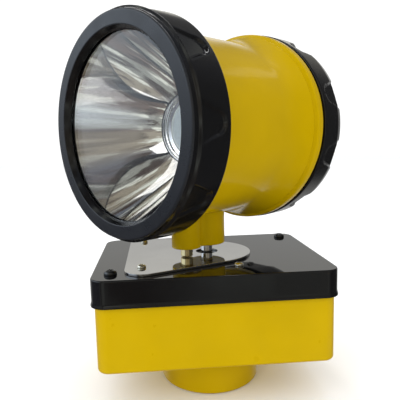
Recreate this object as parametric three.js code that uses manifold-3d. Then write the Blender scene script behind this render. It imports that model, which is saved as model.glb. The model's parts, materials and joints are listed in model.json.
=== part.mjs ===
// A swivelling miner's lamp: a wide spotlight head that turns on a flat battery box.
// Millimetres, +Z up. The origin is the centre of the round foot's bottom face.
// The box is longest along X and its front faces -Y.

import * as THREE from 'three';
import { mergeVertices } from 'three/addons/utils/BufferGeometryUtils.js';
import Module from 'manifold-3d';

const wasm = await Module();
wasm.setup();

// ---------- driving dimensions ----------

const gap = 0.3; // clearance between pieces that touch or slide
const wall = 2.6; // moulded wall thickness

const lidLength = 115;
const lidDepth = 83;
const lidHeight = 13;
const lidTop = 65.6; // height of the lid's top face
const lidPanel = 3; // thickness of the lid's top
const lidInset = 1.8; // how far the lid overhangs the box
const lidCorner = 7.5;
const boxBottom = 21.2;
const footRadius = 25.8;

const plateThickness = 1.2;
const plateRadius = 23; // round end of the contact plate
const plateCorner = 9; // its two far corners
const plateReach = 33; // from the spindle to the far corners' centres
const plateSpread = 28.6; // of those centres, either side of the middle
const plateHole = 5.8;

const spindleRadius = 3.15;
const pinRadius = 3.1;
const pinReach = 14.8; // from the spindle to the contact pin
const neckBottom = lidTop + plateThickness + 5;

const axisHeight = lidTop + 66; // height of the lamp's axis
const headTurn = THREE.MathUtils.degToRad(130); // at rest the lamp faces front left
const faceFront = 56.5; // from the spindle forward to the front face
const bezelLength = 19.2;
const bezelRadius = 50.2;
const bezelThread = 45.2;
const barrelRadius = 43.9;
const flangeRadius = 50;
const flangeRear = -31.9;
const capThread = 44.6;
const capRadius = 50.4;
const capRear = faceFront - 108.5;
const lensRadius = 43.9;
const reflectorRadius = 41;
const ledWell = 17.5; // radius of the reflector's small end
const ledSeat = 7.4; // the light source's back, on its board
const ledFace = ledSeat + 1.1;
const scoopCount = 10;

const seat = 0.05; // space left between flat faces that rest on each other
const largeRing = 40; // sides of the head's big rings, a multiple of the scoops
const middleRing = 28; // sides of middling discs
const smallRing = 18; // sides of shafts and small discs
const screwRing = 12; // sides of screws

// ---------- materials ----------

function finish(color, roughness, metalness = 0) {
  return new THREE.MeshStandardMaterial({ color, roughness, metalness });
}

const yellowPlastic = finish(0xd9ab00, 0.3);
const blackPlastic = finish(0x16171a, 0.3);
const blackRubber = finish(0x1b1b1b, 0.8);
const whiteNylon = finish(0xd8d6cc, 0.6);
const clearPlastic = finish(0xe6eef2, 0.05);
const chrome = finish(0xdfe2e4, 0.06, 1);
const stainless = finish(0xb4b4b0, 0.25, 1);
const steel = finish(0x9a9c9e, 0.3, 1);
const brass = finish(0xc9a24a, 0.3, 1);
const aluminium = finish(0xa8abae, 0.45, 1);
const circuitGreen = finish(0x1d5b35, 0.5);
const phosphor = finish(0xe9edf0, 0.4);
const cellWrap = finish(0x2c5d8f, 0.4);
const wireRed = finish(0xa02018, 0.5);
const wireBlack = finish(0x181818, 0.5);

// ---------- solids ----------

// Makes a closed geometry into a solid with its faces pointing out.
function solid(geometry) {
  const plain = new THREE.BufferGeometry();
  plain.setAttribute('position', geometry.getAttribute('position').clone());
  if (geometry.index) plain.setIndex(geometry.index.clone());
  const merged = mergeVertices(plain, 1e-4);
  const points = merged.getAttribute('position').array;
  const corners = merged.index.array;
  const triangles = [];
  let volume = 0;
  for (let i = 0; i < corners.length; i += 3) {
    const [a, b, c] = [corners[i], corners[i + 1], corners[i + 2]];
    if (a === b || b === c || c === a) continue;
    triangles.push(a, b, c);
    const [p, q, r] = [a, b, c].map((k) => new THREE.Vector3().fromArray(points, 3 * k));
    volume += p.dot(q.cross(r));
  }
  if (volume < 0) triangles.reverse();
  const vertProperties = Float32Array.from(points);
  const triVerts = Uint32Array.from(triangles);
  return new wasm.Manifold(new wasm.Mesh({ numProp: 3, vertProperties, triVerts }));
}

function join(first, ...others) {
  return others.reduce((whole, other) => whole.add(other), first);
}

function cut(first, ...others) {
  return others.reduce((whole, other) => whole.subtract(other), first);
}

// Adds a solid to a group as a named mesh.
function addPart(group, name, body, material) {
  const mesh = body.getMesh();
  const geometry = new THREE.BufferGeometry();
  geometry.setAttribute('position', new THREE.Float32BufferAttribute(mesh.vertProperties, 3));
  geometry.setIndex(Array.from(mesh.triVerts));
  geometry.computeVertexNormals();
  const part = new THREE.Mesh(geometry, material);
  part.name = name;
  group.add(part);
}

// A body turned about Y from [radius, y] points; the outline closes on itself or on the axis.
function turnedAlongY(points, sides = largeRing) {
  const outline = points.map(([radius, y]) => new THREE.Vector2(radius, y));
  if (points[0][0] > 0) outline.push(outline[0].clone());
  return new THREE.LatheGeometry(outline, sides);
}

// The same about Z, from [radius, z] points.
function turnedAlongZ(points, sides = smallRing) {
  return turnedAlongY(points, sides).rotateX(Math.PI / 2);
}

function discAlongZ(radius, bottom, top, sides = smallRing) {
  return turnedAlongZ([[0, bottom], [radius, bottom], [radius, top], [0, top]], sides);
}

function discAlongY(radius, rear, front, sides = largeRing) {
  return turnedAlongY([[0, rear], [radius, rear], [radius, front], [0, front]], sides);
}

function ringAlongY(inner, outer, rear, front, sides = largeRing) {
  return turnedAlongY([[inner, rear], [outer, rear], [outer, front], [inner, front]], sides);
}

// A box from its lowest corner to its highest.
function boxBetween([x0, y0, z0], [x1, y1, z1]) {
  const box = new THREE.BoxGeometry(x1 - x0, y1 - y0, z1 - z0);
  return box.translate((x0 + x1) / 2, (y0 + y1) / 2, (z0 + z1) / 2);
}

function roundedOutline(length, depth, radius) {
  const x = length / 2 - radius;
  const y = depth / 2 - radius;
  const outline = new THREE.Shape();
  outline.absarc(x, y, radius, 0, Math.PI / 2);
  outline.absarc(-x, y, radius, Math.PI / 2, Math.PI);
  outline.absarc(-x, -y, radius, Math.PI, 1.5 * Math.PI);
  outline.absarc(x, -y, radius, 1.5 * Math.PI, 2 * Math.PI);
  outline.closePath();
  return outline;
}

function raised(outline, bottom, top) {
  const options = { depth: top - bottom, bevelEnabled: false, curveSegments: 3 };
  return new THREE.ExtrudeGeometry(outline, options).translate(0, 0, bottom);
}

// A block with rounded upright corners, inset from the lid's outline.
function insetBlock(inset, bottom, top) {
  const corner = Math.max(lidCorner - inset, 1);
  return solid(raised(roundedOutline(lidLength - 2 * inset, lidDepth - 2 * inset, corner), bottom, top));
}

// An insulated lead or a spring's wire along a smooth curve.
function wireAlong(curve, radius, steps, sides) {
  const section = new THREE.Shape();
  section.absarc(0, 0, radius, 0, 2 * Math.PI);
  return new THREE.ExtrudeGeometry(section, { extrudePath: curve, steps, curveSegments: sides / 2 });
}

function lead(points, radius = 0.9) {
  const stops = points.map((point) => new THREE.Vector3(...point));
  return solid(wireAlong(new THREE.CatmullRomCurve3(stops), radius, 10, 6));
}

// ---------- screws ----------

// A cross-head screw that points down; its head rests at height z.
function crossScrew({ x, y, z, headRadius, headHeight, shankRadius, length }) {
  const dome = 0.55 * headHeight;
  const tip = shankRadius * 0.6;
  const body = turnedAlongZ([
    [0, z - length],
    [tip, z - length],
    [shankRadius, z - length + tip],
    [shankRadius, z],
    [headRadius, z],
    [headRadius, z + headHeight - dome],
    [headRadius * 0.82, z + headHeight - dome * 0.3],
    [headRadius * 0.45, z + headHeight],
    [0, z + headHeight],
  ], screwRing).translate(x, y, 0);
  const arm = headRadius * 0.58;
  const slot = headRadius * 0.14;
  const floor = z + headHeight * 0.4;
  const over = z + headHeight + 1;
  const crossX = solid(boxBetween([x - arm, y - slot, floor], [x + arm, y + slot, over]));
  const crossY = solid(boxBetween([x - slot, y - arm, floor], [x + slot, y + arm, over]));
  return cut(solid(body), crossX, crossY);
}

const boxTop = lidTop - lidHeight - gap;
const tongueTop = boxTop + 3;
const floorTop = boxBottom + wall;
const plateTop = lidTop + seat + plateThickness;

const lidScrewSpots = [
  ['lid_screw_front', -48.2, -31],
  ['lid_screw_back', 48.2, 31],
];
const plateScrewSpots = [
  ['plate_screw_front', -34, -26.4],
  ['plate_screw_back', -34, 26.4],
];
const terminalSpot = [12.4, -26.6];

const lidScrewShank = 1.7;
const smallShank = 1.2;

function lidScrew(x, y) {
  return crossScrew({
    x, y, z: lidTop + seat,
    headRadius: 3.05, headHeight: 2, shankRadius: lidScrewShank, length: 20,
  });
}

function smallScrew(x, y, z) {
  return crossScrew({ x, y, z, headRadius: 2.15, headHeight: 1.5, shankRadius: smallShank, length: 6.5 });
}

// ---------- base: box and lid ----------

function upright(x, y, radius, bottom, top) {
  return solid(discAlongZ(radius, bottom, top).translate(x, y, 0));
}

const padRadius = 21.5;
const padRecess = 2;

function baseBox() {
  const shell = insetBlock(lidInset, boxBottom, boxTop);
  const tongue = insetBlock(lidInset + 1.2, boxTop - 1, tongueTop);
  const foot = solid(discAlongZ(footRadius, 0.4, boxBottom + 1, largeRing));
  const cavity = insetBlock(lidInset + wall, floorTop, tongueTop + 1);
  const footHollow = solid(discAlongZ(footRadius - wall, 5.5, floorTop + 1, largeRing));
  const padSeat = solid(discAlongZ(padRadius + gap, -1, 0.4 + padRecess, largeRing));
  let box = cut(join(shell, tongue, foot), cavity, footHollow, padSeat);
  for (const [, x, y] of lidScrewSpots) {
    box = join(box, upright(x, y, 5, floorTop - 1, tongueTop));
    box = cut(box, upright(x, y, lidScrewShank + gap, tongueTop - 16, tongueTop + 1));
  }
  return box;
}

function baseLid() {
  const bottom = lidTop - lidHeight;
  const ledge = tongueTop + 2 * gap + 1.4;
  const underside = lidTop - lidPanel;
  const outer = insetBlock(0, bottom, lidTop);
  const rimSpace = insetBlock(lidInset + 1.2 - gap, bottom - 1, ledge);
  const inside = insetBlock(lidInset + wall + gap, bottom - 1, underside);
  let lid = cut(outer, rimSpace, inside);
  for (const [, x, y] of lidScrewSpots) {
    lid = join(lid, upright(x, y, 4.2, tongueTop + gap, underside + 1));
    lid = cut(lid, upright(x, y, lidScrewShank + gap, bottom - 1, lidTop + 1));
  }
  const smallHoles = [...plateScrewSpots.map(([, x, y]) => [x, y]), terminalSpot];
  for (const [x, y] of smallHoles) {
    lid = join(lid, upright(x, y, 3.2, underside - 4.4, underside + 1));
    lid = cut(lid, upright(x, y, smallShank + gap, bottom - 1, lidTop + 1));
  }
  lid = join(lid, upright(0, 0, 9.5, underside - 1.6, underside + 1));
  return cut(lid, upright(0, 0, plateHole, bottom - 1, lidTop + 1));
}

function lidGasket() {
  const bottom = tongueTop + gap;
  const ring = insetBlock(lidInset + 1.2, bottom, bottom + 1.4);
  return cut(ring, insetBlock(lidInset + wall, bottom - 1, bottom + 3));
}

function footPad() {
  return solid(discAlongZ(padRadius, 0, 0.4 + padRecess - gap, largeRing));
}

// A tapered tongue: a round end about the spindle and two rounded corners at the left.
function plateOutline() {
  const run = Math.hypot(plateReach, plateSpread);
  const lean = Math.asin((plateRadius - plateCorner) / run);
  const side = Math.atan2(plateSpread, -plateReach) - Math.PI / 2 + lean;
  const outline = new THREE.Shape();
  outline.absarc(0, 0, plateRadius, -side, side);
  outline.absarc(-plateReach, plateSpread, plateCorner, side, Math.PI);
  outline.absarc(-plateReach, -plateSpread, plateCorner, Math.PI, 2 * Math.PI - side);
  outline.closePath();
  return outline;
}

function contactPlate() {
  const outline = plateOutline();
  const bottom = lidTop + seat;
  const options = { depth: plateThickness, bevelEnabled: false, curveSegments: 10 };
  const sheet = solid(new THREE.ExtrudeGeometry(outline, options).translate(0, 0, bottom));
  const holes = plateScrewSpots.map(([, x, y]) => upright(x, y, smallShank + gap, bottom - 1, plateTop + 1));
  return cut(sheet, upright(0, 0, plateHole, bottom - 1, plateTop + 1), ...holes);
}

// ---------- base: spindle bearing ----------

const bushFlangeTop = lidTop - lidPanel - 1.6 - seat;
const bushFlange = 1.8;
const bushBottom = bushFlangeTop - bushFlange;
const washerThickness = 0.8;
const clipThickness = 0.8;
const washerBottom = bushBottom - gap - washerThickness;
const clipBottom = washerBottom - gap - clipThickness;
const spindleBottom = clipBottom - 3;
const spindleBore = spindleRadius + gap;

function insulatingBush() {
  return solid(turnedAlongZ([
    [spindleBore, bushBottom],
    [9, bushBottom],
    [9, bushFlangeTop],
    [plateHole - gap, bushFlangeTop],
    [plateHole - gap, lidTop + gap],
    [spindleBore, lidTop + gap],
  ], middleRing));
}

// ---------- base: battery and electronics ----------

const cellRadius = 9.2;
const cellLength = 65;
const cellPitch = 19.6;
const cellStart = -42;
const trayWall = 1.4;
const cellHeight = floorTop + seat + trayWall + cellRadius + gap;
const cellSpots = [-cellPitch, 0, cellPitch];

function cell(y) {
  const button = 1.2;
  const points = [
    [0, 0],
    [cellRadius - 0.6, 0],
    [cellRadius, 0.6],
    [cellRadius, cellLength - 0.6],
    [cellRadius - 0.6, cellLength],
    [3, cellLength],
    [3, cellLength + button],
    [0, cellLength + button],
  ];
  const body = turnedAlongY(points, smallRing).rotateZ(-Math.PI / 2);
  return solid(body.translate(cellStart, y, cellHeight));
}

function cellTray() {
  const bottom = floorTop + seat;
  const halfWidth = 1.5 * cellPitch + 1;
  const corner = [cellStart + cellLength, halfWidth, bottom + 8];
  const block = solid(boxBetween([cellStart, -halfWidth, bottom], corner));
  const beds = cellSpots.map((y) => {
    const bed = discAlongY(cellRadius + 2 * gap, -1, cellLength + 1, smallRing).rotateZ(-Math.PI / 2);
    return solid(bed.translate(cellStart, y, cellHeight));
  });
  return cut(block, ...beds);
}

const stripHalf = 3;
const stripThickness = 0.4;

// A nickel strip welded across the cells' ends.
function cellStrip(x) {
  const reach = cellPitch + 4;
  const corner = [x + stripThickness, reach, cellHeight + stripHalf];
  return solid(boxBetween([x, -reach, cellHeight - stripHalf], corner));
}

const boardLeft = 26;
const boardBottom = 33;
const boardTop = boardBottom + 1.6;

function controlBoard() {
  const board = solid(boxBetween([boardLeft, -28, boardBottom], [boardLeft + 17, 28, boardTop]));
  const sunk = boardTop - 0.5;
  const chips = [-18, -8, 20].map((y) => solid(boxBetween([28, y - 3, sunk], [35, y + 3, boardTop + 1.8])));
  const coil = upright(35, 10, 4.5, sunk, boardTop + 7);
  const posts = [-24, 24].map((y) => upright(39, y, 2, floorTop + seat, boardBottom + 0.5));
  return join(board, ...chips, coil, ...posts);
}

// A springy brass strip that rubs on the spindle's lower end and stands on the board.
function spindleWiper() {
  const thickness = 0.5;
  const width = 7;
  const contact = spindleBottom - gap;
  const foot = boardTop + gap;
  const bend = new THREE.Shape();
  bend.moveTo(-6, contact);
  bend.lineTo(6, contact);
  bend.lineTo(28, contact - 5);
  bend.lineTo(29.5, foot + thickness);
  bend.lineTo(36, foot + thickness);
  bend.lineTo(36, foot);
  bend.lineTo(29, foot);
  bend.lineTo(27.5, contact - 5 - thickness);
  bend.lineTo(6, contact - thickness);
  bend.lineTo(-6, contact - thickness);
  bend.closePath();
  const strip = new THREE.ExtrudeGeometry(bend, { depth: width, bevelEnabled: false });
  return solid(strip.rotateX(Math.PI / 2).translate(0, width / 2, 0));
}

const root = new THREE.Group();

function addBase() {
  addPart(root, 'base_box', baseBox(), yellowPlastic);
  addPart(root, 'base_lid', baseLid(), blackPlastic);
  addPart(root, 'lid_gasket', lidGasket(), blackRubber);
  addPart(root, 'foot_pad', footPad(), blackRubber);
  addPart(root, 'contact_plate', contactPlate(), stainless);
  for (const [name, x, y] of lidScrewSpots) addPart(root, name, lidScrew(x, y), blackPlastic);
  for (const [name, x, y] of plateScrewSpots) {
    addPart(root, name, smallScrew(x, y, plateTop + seat), steel);
  }
  addPart(root, 'terminal_screw', smallScrew(...terminalSpot, lidTop + seat), steel);
  addPart(root, 'insulating_bush', insulatingBush(), blackPlastic);
}

function addBattery() {
  addPart(root, 'cell_tray', cellTray(), whiteNylon);
  cellSpots.forEach((y, i) => addPart(root, `battery_cell_${i + 1}`, cell(y), cellWrap));
  addPart(root, 'cell_strip_negative', cellStrip(cellStart - gap - stripThickness), steel);
  addPart(root, 'cell_strip_positive', cellStrip(cellStart + cellLength + 1.2 + gap), steel);
  addPart(root, 'control_board', controlBoard(), circuitGreen);
  addPart(root, 'spindle_wiper', spindleWiper(), brass);
  const negativeLead = lead([
    [cellStart - 1.9, 24, cellHeight + 2],
    [cellStart - 1.9, 30, cellHeight + 8],
    [-20, 33, cellHeight + 11],
    [15, 33, cellHeight + 8],
    [32, 28, 46],
    [39, 18, boardTop + 1.5],
  ]);
  addPart(root, 'battery_lead', negativeLead, wireBlack);
  const plateLead = lead([
    [terminalSpot[0], terminalSpot[1], lidTop - 9.2],
    [terminalSpot[0] + 2, terminalSpot[1] + 1, lidTop - 14],
    [24, -26, 44],
    [31, -25, boardTop + 1.5],
  ]);
  addPart(root, 'plate_lead', plateLead, wireRed);
}

// ---------- head ----------

// In the head's own frame Y points forward along the lamp's axis and Z up.
const head = new THREE.Group();
head.position.z = axisHeight;
head.rotation.z = headTurn;
root.add(head);

const fromAxis = (height) => height - axisHeight;

// A tongue-shaped cutter for the finger scoops, wide end at y = mouth, round end at y = tip.
function scoop(turn, floorRadius, mouth, tip) {
  const halfMouth = 8.8;
  const halfTip = 5.4;
  const way = Math.sign(tip - mouth);
  const bend = tip - way * halfTip;
  const outline = new THREE.Shape();
  outline.moveTo(-halfMouth, mouth);
  outline.lineTo(-halfTip - 1.2, bend - way * 3);
  outline.absarc(0, bend, halfTip, Math.PI, 0, way > 0);
  outline.lineTo(halfTip + 1.2, bend - way * 3);
  outline.lineTo(halfMouth, mouth);
  outline.closePath();
  const cutter = new THREE.ExtrudeGeometry(outline, { depth: 8, bevelEnabled: false, curveSegments: 4 });
  return solid(cutter.translate(0, 0, floorRadius).rotateY(turn));
}

function scoops(firstTurn, floorRadius, mouth, tip) {
  const step = (2 * Math.PI) / scoopCount;
  return Array.from({ length: scoopCount }, (_, i) => scoop(firstTurn + i * step, floorRadius, mouth, tip));
}

const bezelRear = faceFront - bezelLength;
const lipRear = faceFront - 3.6; // where the bezel's lip meets the lens
const lensFront = lipRear - gap;
const lensRear = lensFront - 2.8;
const barrelFront = 46;

function frontBezel() {
  const ring = solid(turnedAlongY([
    [bezelThread + gap, bezelRear],
    [bezelRadius - 0.6, bezelRear],
    [bezelRadius, bezelRear + 0.7],
    [bezelRadius, faceFront - 3.6],
    [bezelRadius - 1.3, faceFront - 2.7],
    [bezelRadius - 1.6, faceFront - 1.6],
    [48.2, faceFront - 0.6],
    [47.6, faceFront],
    [42.6, faceFront],
    [42.2, faceFront - 0.3],
    [40.6, lipRear],
    [lensRadius + gap, lipRear],
    [lensRadius + gap, barrelFront + 1.7],
    [bezelThread + gap, barrelFront + 1.7],
  ]));
  return cut(ring, ...scoops(Math.PI / 2, bezelRadius - 1.4, faceFront - 3.2, bezelRear + 2.2));
}

function lens() {
  return solid(discAlongY(lensRadius, lensRear, lensFront));
}

const flangeFront = barrelFront + gap + 1.1; // front of the reflector's flange

function lensSeal() {
  return solid(ringAlongY(42.1, lensRadius, flangeFront + gap, lensRear - gap));
}

const reflectorFront = lensRear - gap;
const reflectorSkin = 1.3;
const reflectorRear = ledSeat + 5.1; // where the bowl ends and its straight collar starts

// The parabola through the rim and the small end, as [radius, y] at a share of the depth.
function parabolaPoint(share) {
  const square = THREE.MathUtils.lerp(reflectorRadius ** 2, ledWell ** 2, share);
  return [Math.sqrt(square), THREE.MathUtils.lerp(reflectorFront, reflectorRear, share)];
}

function reflector() {
  const steps = 6;
  const inside = Array.from({ length: steps + 1 }, (_, i) => parabolaPoint(i / steps));
  const outside = inside
    .filter(([radius, y]) => y < barrelFront - 1 && radius > ledWell)
    .map(([radius, y]) => [radius + reflectorSkin, y - 0.5 * reflectorSkin])
    .reverse();
  return solid(turnedAlongY([
    ...inside,
    [ledWell, ledSeat],
    [ledWell + 1.6, ledSeat],
    [ledWell + 1.6, reflectorRear - 1],
    ...outside,
    [reflectorRadius + 1, barrelFront + gap],
    [44, barrelFront + gap],
    [44, flangeFront],
    [reflectorRadius + 0.8, flangeFront],
    [reflectorRadius + 0.8, reflectorFront],
  ]));
}

const emitterRadius = 13.6;

// The chrome ring that steps down from the reflector to the light source.
function ledRing() {
  const outer = ledWell - gap;
  const inner = emitterRadius + gap;
  const step = outer - 1.6;
  return solid(turnedAlongY([
    [inner, ledSeat],
    [outer, ledSeat],
    [outer, ledSeat + 5],
    [outer - 0.9, ledSeat + 5],
    [outer - 0.9, ledSeat + 3.6],
    [step, ledSeat + 3.3],
    [step, ledSeat + 2.1],
    [inner, ledSeat + 1.5],
  ], middleRing));
}

function ledEmitter() {
  return solid(discAlongY(emitterRadius, ledSeat, ledFace, middleRing));
}

function ledDome() {
  const height = 1.6;
  const radius = 12.6;
  const bottom = ledFace + gap;
  const steps = 4;
  const curve = Array.from({ length: steps }, (_, i) => {
    const angle = (i / steps) * (Math.PI / 2);
    return [radius * Math.cos(angle), bottom + height * Math.sin(angle)];
  });
  return solid(turnedAlongY([[0, bottom], ...curve, [0, bottom + height]], middleRing));
}

const ledBoardFront = ledSeat - gap;
const ledBoardRear = ledBoardFront - 1.6;
const sinkFront = ledBoardRear - gap;
const sinkRear = sinkFront - 23;
const driverFront = sinkRear - 3;
const driverRear = driverFront - 1.6;
const barrelBore = barrelRadius - 2.5;

// An aluminium disc with straight fins, three arms to the barrel and posts for the driver board.
function heatSink() {
  const discRear = sinkFront - 4;
  const disc = solid(discAlongY(26, discRear, sinkFront, middleRing));
  const round = solid(discAlongY(25.5, sinkRear, discRear + 1, middleRing));
  const fins = [-20, -12, -4, 4, 12, 20].map((x) => {
    return solid(boxBetween([x - 1, sinkRear, -27], [x + 1, discRear + 1, 27])).intersect(round);
  });
  const arms = [0, 1, 2].map((i) => {
    const arm = boxBetween([-4, discRear, 20], [4, sinkFront, barrelBore - 0.8]);
    return solid(arm.rotateY((i * 2 * Math.PI) / 3));
  });
  const posts = [0, 1, 2].map((i) => {
    const post = discAlongY(2, driverFront + gap, sinkFront - 1, screwRing).translate(0, 0, 21);
    return solid(post.rotateY(((i + 0.5) * 2 * Math.PI) / 3));
  });
  return join(disc, ...fins, ...arms, ...posts);
}

function driverBoard() {
  const board = solid(discAlongY(24, driverRear, driverFront, middleRing));
  const chip = solid(boxBetween([-12, driverRear - 2, -3], [-4, driverRear + 0.5, 5]));
  const coil = solid(discAlongY(5, driverRear - 5, driverRear + 0.5, screwRing).translate(7, 0, 8));
  const capacitor = solid(discAlongY(4, driverRear - 6, driverRear + 0.5, screwRing).translate(6, 0, -8));
  return join(board, chip, coil, capacitor);
}

// The yellow body: waisted, flaring to the bezel in front and to a rim at the rear.
function barrelOutside() {
  const flareStart = -8;
  const crease = -26;
  const flare = (y) => {
    const share = (flareStart - y) / (flareStart - crease);
    return barrelRadius + (48.2 - barrelRadius) * share ** 2.2;
  };
  const flareSteps = [-11, -14, -17, -20, -23, crease];
  return [
    [bezelThread, barrelFront],
    [bezelThread, bezelRear - gap],
    [bezelThread + 0.7, bezelRear - gap],
    [bezelThread + 0.6, bezelRear - 1.5],
    [44.9, bezelRear - 8],
    [44.2, bezelRear - 17],
    [barrelRadius, bezelRear - 27],
    [barrelRadius, flareStart],
    ...flareSteps.map((y) => [flare(y), y]),
    [48.9, crease - 0.5],
    [49.7, crease - 1.8],
    [flangeRadius, crease - 3.2],
    [flangeRadius, flangeRear + 0.6],
    [flangeRadius - 0.6, flangeRear],
    [capThread, flangeRear],
    [capThread, -44],
    [capThread - 2.4, -44],
    [capThread - 2.4, -30],
    [barrelBore, -14],
    [barrelBore, 34],
    [42.4, 38],
    [42.4, barrelFront],
  ];
}

const neckTop = -barrelBore + 2; // flat seats inside, just above the barrel's wall
const neckRear = 9.6; // neck's radius around the spindle
const neckFront = 7.6; // and around the contact pin
const neckWeb = 5.6; // half the width of the wall between them

function lampBarrel() {
  const bottom = fromAxis(neckBottom);
  const column = (y, radius) => solid(discAlongZ(radius, bottom, neckTop, middleRing).translate(0, y, 0));
  const web = solid(boxBetween([-neckWeb, 0, bottom], [neckWeb, pinReach, neckTop]));
  const neck = join(column(0, neckRear), column(pinReach, neckFront), web);
  const spindleHole = solid(discAlongZ(spindleBore, bottom - 1, neckTop + 1));
  const pinHole = solid(discAlongZ(pinRadius + gap, bottom - 1, neckTop + 1).translate(0, pinReach, 0));
  return cut(join(solid(turnedAlongY(barrelOutside())), neck), spindleHole, pinHole);
}

// ---------- head: spindle and contact pin ----------

const nutBottom = neckTop + gap;
const nutHeight = 5;

function spindle() {
  const groove = spindleRadius - 0.8;
  const grooveBottom = clipBottom - 0.2;
  const grooveTop = clipBottom + clipThickness + 0.2;
  return solid(turnedAlongZ([
    [0, spindleBottom],
    [spindleRadius - 0.5, spindleBottom],
    [spindleRadius, spindleBottom + 0.5],
    [spindleRadius, grooveBottom],
    [groove, grooveBottom],
    [groove, grooveTop],
    [spindleRadius, grooveTop],
    [spindleRadius, axisHeight + nutBottom + nutHeight + 3],
    [0, axisHeight + nutBottom + nutHeight + 3],
  ]).translate(0, 0, -axisHeight));
}

function spindleNut() {
  const hexagon = solid(discAlongZ(5.8, nutBottom, nutBottom + nutHeight, 6));
  return cut(hexagon, solid(discAlongZ(spindleBore, nutBottom - 1, nutBottom + nutHeight + 1)));
}

function thrustWasher() {
  const bottom = fromAxis(washerBottom);
  const top = bottom + washerThickness;
  return solid(turnedAlongZ([[spindleBore, bottom], [8, bottom], [8, top], [spindleBore, top]]));
}

// An open spring clip that sits in the spindle's groove.
function spindleClip() {
  const inner = spindleRadius - 0.5;
  const outer = 6;
  const open = 0.5;
  const outline = new THREE.Shape();
  outline.absarc(0, 0, outer, open, 2 * Math.PI - open);
  outline.absarc(0, 0, inner, 2 * Math.PI - open, open, true);
  outline.closePath();
  const bottom = fromAxis(clipBottom);
  const flat = new THREE.ExtrudeGeometry(outline, { depth: clipThickness, bevelEnabled: false });
  return solid(flat.translate(0, 0, bottom));
}

const pinBottom = plateTop + gap;
const pinShoulder = pinBottom + 12;
const pinTail = 1.2;
const terminalBottom = axisHeight + neckTop + gap;
const terminalTop = terminalBottom + 1.4;

function contactPin() {
  return solid(turnedAlongZ([
    [0, pinBottom],
    [pinRadius - 0.8, pinBottom],
    [pinRadius, pinBottom + 0.8],
    [pinRadius, pinShoulder],
    [pinTail, pinShoulder],
    [pinTail, terminalTop + 2],
    [0, terminalTop + 2],
  ]).translate(0, pinReach, -axisHeight));
}

class Coil extends THREE.Curve {
  constructor(radius, bottom, top, turns) {
    super();
    Object.assign(this, { radius, bottom, top, turns });
  }

  getPoint(share, target = new THREE.Vector3()) {
    const angle = share * this.turns * 2 * Math.PI;
    const height = THREE.MathUtils.lerp(this.bottom, this.top, share);
    return target.set(this.radius * Math.cos(angle), this.radius * Math.sin(angle), height);
  }
}

function contactSpring() {
  const wire = 0.35;
  const coil = new Coil(2.3, fromAxis(pinShoulder) + gap + wire, fromAxis(terminalBottom) - gap - wire, 6);
  return solid(wireAlong(coil, wire, 40, 4).translate(0, pinReach, 0));
}

function pinTerminal() {
  const bottom = fromAxis(terminalBottom);
  const top = fromAxis(terminalTop);
  const ring = turnedAlongZ([[pinTail + gap, bottom], [5, bottom], [5, top], [pinTail + gap, top]]);
  return solid(ring.translate(0, pinReach, 0));
}

// ---------- head: rear cap and switch ----------

const sealRear = flangeRear - gap - 1.2;
const capFront = sealRear - gap;
const capFloor = capRear + 3;
const capDish = capRear + 1.1; // the recessed middle of the cap's back
const buttonRadius = 10;
const buttonTravel = 1.5;

function rearCap() {
  const cup = solid(turnedAlongY([
    [capThread + gap, capFront],
    [capRadius - 0.7, capFront],
    [capRadius, capFront - 0.8],
    [capRadius, capRear + 7],
    [capRadius - 1, capRear + 2],
    [capRadius - 3.4, capRear],
    [32, capRear],
    [30, capDish],
    [buttonRadius + 0.6, capDish],
    [buttonRadius + 0.6, capFloor],
    [capThread + gap, capFloor],
  ]));
  const start = Math.PI / 2 + Math.PI / scoopCount;
  return cut(cup, ...scoops(start, capRadius - 2.2, capRear - 1, capFront - 3.4));
}

function capSeal() {
  return solid(ringAlongY(capThread + gap, 47.6, sealRear, flangeRear - gap));
}

const carrierFront = -44.3;
const carrierRear = -46.3;
const switchBush = 8.6;

function switchCarrier() {
  return solid(ringAlongY(switchBush + gap, 43.9, carrierRear, carrierFront));
}

function switchBody() {
  const block = solid(boxBetween([-10, -44, -10], [10, -33, 10]));
  const bush = solid(discAlongY(switchBush, carrierRear, -43, middleRing));
  return cut(join(block, bush), solid(discAlongY(4.3, carrierRear - 1, -40, smallRing)));
}

function switchButton() {
  const under = carrierRear - buttonTravel - gap;
  return solid(turnedAlongY([
    [0, -42],
    [4, -42],
    [4, under],
    [buttonRadius, under],
    [buttonRadius, capRear + 0.2],
    [buttonRadius - 0.8, capRear - 0.4],
    [buttonRadius - 3, capRear - 0.8],
    [0, capRear - 0.9],
  ], middleRing));
}

function addHead() {
  addPart(head, 'lamp_barrel', lampBarrel(), yellowPlastic);
  addPart(head, 'front_bezel', frontBezel(), blackPlastic);
  addPart(head, 'lens', lens(), clearPlastic);
  addPart(head, 'lens_seal', lensSeal(), blackRubber);
  addPart(head, 'reflector', reflector(), chrome);
  addPart(head, 'led_ring', ledRing(), chrome);
  addPart(head, 'led_emitter', ledEmitter(), phosphor);
  addPart(head, 'led_dome', ledDome(), clearPlastic);
  addPart(head, 'led_board', solid(discAlongY(20, ledBoardRear, ledBoardFront, middleRing)), aluminium);
  addPart(head, 'heat_sink', heatSink(), aluminium);
  addPart(head, 'driver_board', driverBoard(), circuitGreen);
}

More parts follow.
